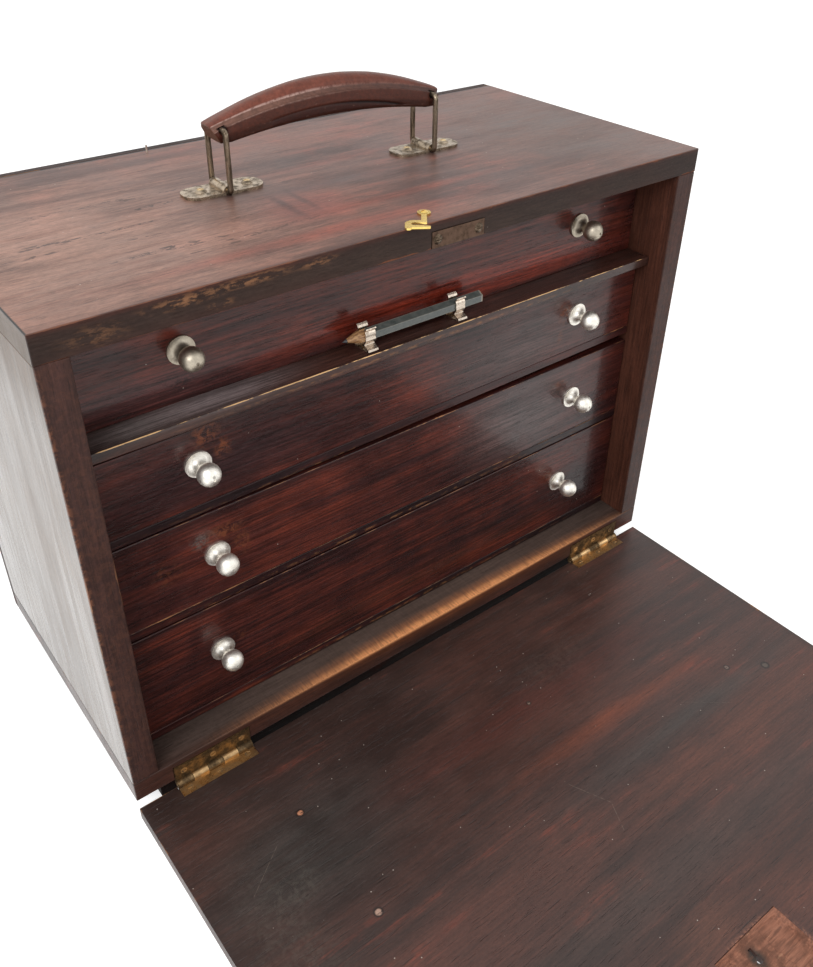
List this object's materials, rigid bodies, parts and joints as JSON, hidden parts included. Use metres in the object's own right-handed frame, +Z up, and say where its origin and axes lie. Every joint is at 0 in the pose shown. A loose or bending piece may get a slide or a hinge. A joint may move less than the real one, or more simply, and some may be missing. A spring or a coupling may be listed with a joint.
{
  "type": "drop-front tool chest",
  "caption": "Wooden drop-front tool chest with ball-knob drawers, a let-down flap, a swing hook, a clipped pencil and a leather carrying handle on wire loops.",
  "frame": {"origin": "on the floor, under the middle of the whole object with its flap let down", "axes": "+X to the right seen from the front, +Y to the back, +Z up; the flap lets down towards -Y"},
  "size_m": [0.432, 0.5224, 0.3728],
  "materials": {
    "case_wood": "dark stained, worn and waxed",
    "bearer_wood": "dark, dirty",
    "inner_wood": "raw, darkened with age",
    "drawer_wood": "red-brown stain, glossy and scuffed",
    "nickel": "nickel plate, polished",
    "aged_brass": "aged, tarnished",
    "dark_brass": "dark patina",
    "bright_brass": "polished",
    "dull_steel": "dull, slightly yellowed plate",
    "grip_leather": "worn red-brown leather",
    "pencil_paint": "dark green-grey paint, raw wood cone",
    "graphite": "graphite, smooth"
  },
  "bodies": {
    "case": {"case_top": "case_wood", "case_bottom": "case_wood", "case_side_left": "case_wood", "case_side_right": "case_wood", "case_back": "case_wood", "bearer_front": "bearer_wood", "bearer_back": "bearer_wood", "bearer_screws": "dull_steel", "runners_left": "inner_wood", "runners_right": "inner_wood", "runner_screws": "dull_steel", "back_pin": "bright_brass", "strike_plate": "dark_brass", "strike_screws": "dark_brass", "hook_pivot_screw": "bright_brass", "hinge_leaves_case": "aged_brass", "hinge_screws_case": "aged_brass", "hinge_pins": "aged_brass", "handle_plate_left": "dull_steel", "handle_plate_right": "dull_steel", "handle_screws": "aged_brass"},
    "drawer_1": {"drawer_1_front": "drawer_wood", "drawer_1_sides": "inner_wood", "drawer_1_back": "inner_wood", "drawer_1_bottom": "drawer_wood", "drawer_1_knobs": "nickel", "drawer_1_knob_screws": "aged_brass", "clip_left": "nickel", "clip_right": "nickel", "clip_screws": "aged_brass", "pencil_barrel": "pencil_paint", "pencil_lead": "graphite"},
    "drawer_2": {"drawer_2_front": "drawer_wood", "drawer_2_sides": "inner_wood", "drawer_2_back": "inner_wood", "drawer_2_bottom": "drawer_wood", "drawer_2_knobs": "nickel", "drawer_2_knob_screws": "aged_brass"},
    "drawer_3": {"drawer_3_front": "drawer_wood", "drawer_3_sides": "inner_wood", "drawer_3_back": "inner_wood", "drawer_3_bottom": "drawer_wood", "drawer_3_knobs": "nickel", "drawer_3_knob_screws": "aged_brass"},
    "drawer_4": {"drawer_4_front": "drawer_wood", "drawer_4_sides": "inner_wood", "drawer_4_back": "inner_wood", "drawer_4_bottom": "drawer_wood", "drawer_4_knobs": "nickel", "drawer_4_knob_screws": "aged_brass"},
    "flap": {"flap": "case_wood", "hinge_leaves_flap": "aged_brass", "hinge_screws_flap": "aged_brass", "hook_peg": "bright_brass"},
    "hook": {"hook": "bright_brass"},
    "loop_left": {"loop_left": "dull_steel"},
    "loop_right": {"loop_right": "dull_steel"},
    "grip": {"grip": "grip_leather", "grip_core": "dull_steel"}
  },
  "joints": [
    {"name": "flap_hinge", "type": "hinge", "parent": "case", "child": "flap", "pos_m": [0, 0.0526, 0.0096], "axis": [1, 0, 0], "range_deg": [-90, 0]},
    {"name": "drawer_1_slide", "type": "slide", "parent": "case", "child": "drawer_1", "axis": [0, -1, 0], "range_m": [0, 0.14]},
    {"name": "drawer_2_slide", "type": "slide", "parent": "case", "child": "drawer_2", "axis": [0, -1, 0], "range_m": [0, 0.14]},
    {"name": "drawer_3_slide", "type": "slide", "parent": "case", "child": "drawer_3", "axis": [0, -1, 0], "range_m": [0, 0.14]},
    {"name": "drawer_4_slide", "type": "slide", "parent": "case", "child": "drawer_4", "axis": [0, -1, 0], "range_m": [0, 0.14]},
    {"name": "hook_pivot", "type": "hinge", "parent": "case", "child": "hook", "pos_m": [0.0004, 0.0655, 0.3189], "axis": [0, 0, 1], "range_deg": [-100, 50]},
    {"name": "loop_left_hinge", "type": "hinge", "parent": "case", "child": "loop_left", "pos_m": [-0.06795, 0.16139, 0.32065], "axis": [0.0384, 0.9993, 0], "range_deg": [-72, 72]},
    {"name": "loop_right_hinge", "type": "hinge", "parent": "case", "child": "loop_right", "pos_m": [0.07195, 0.15601, 0.32065], "axis": [0.0384, 0.9993, 0], "range_deg": [-72, 72]},
    {"name": "grip_hinge", "type": "hinge", "parent": "loop_left", "child": "grip", "pos_m": [-0.06795, 0.16139, 0.35365], "axis": [0.0384, 0.9993, 0], "range_deg": [-72, 72]}
  ],
  "couplings": [
    {"joint": "loop_right_hinge", "follows": "loop_left_hinge", "ratio": 1},
    {"joint": "grip_hinge", "follows": "loop_left_hinge", "ratio": -1}
  ]
}
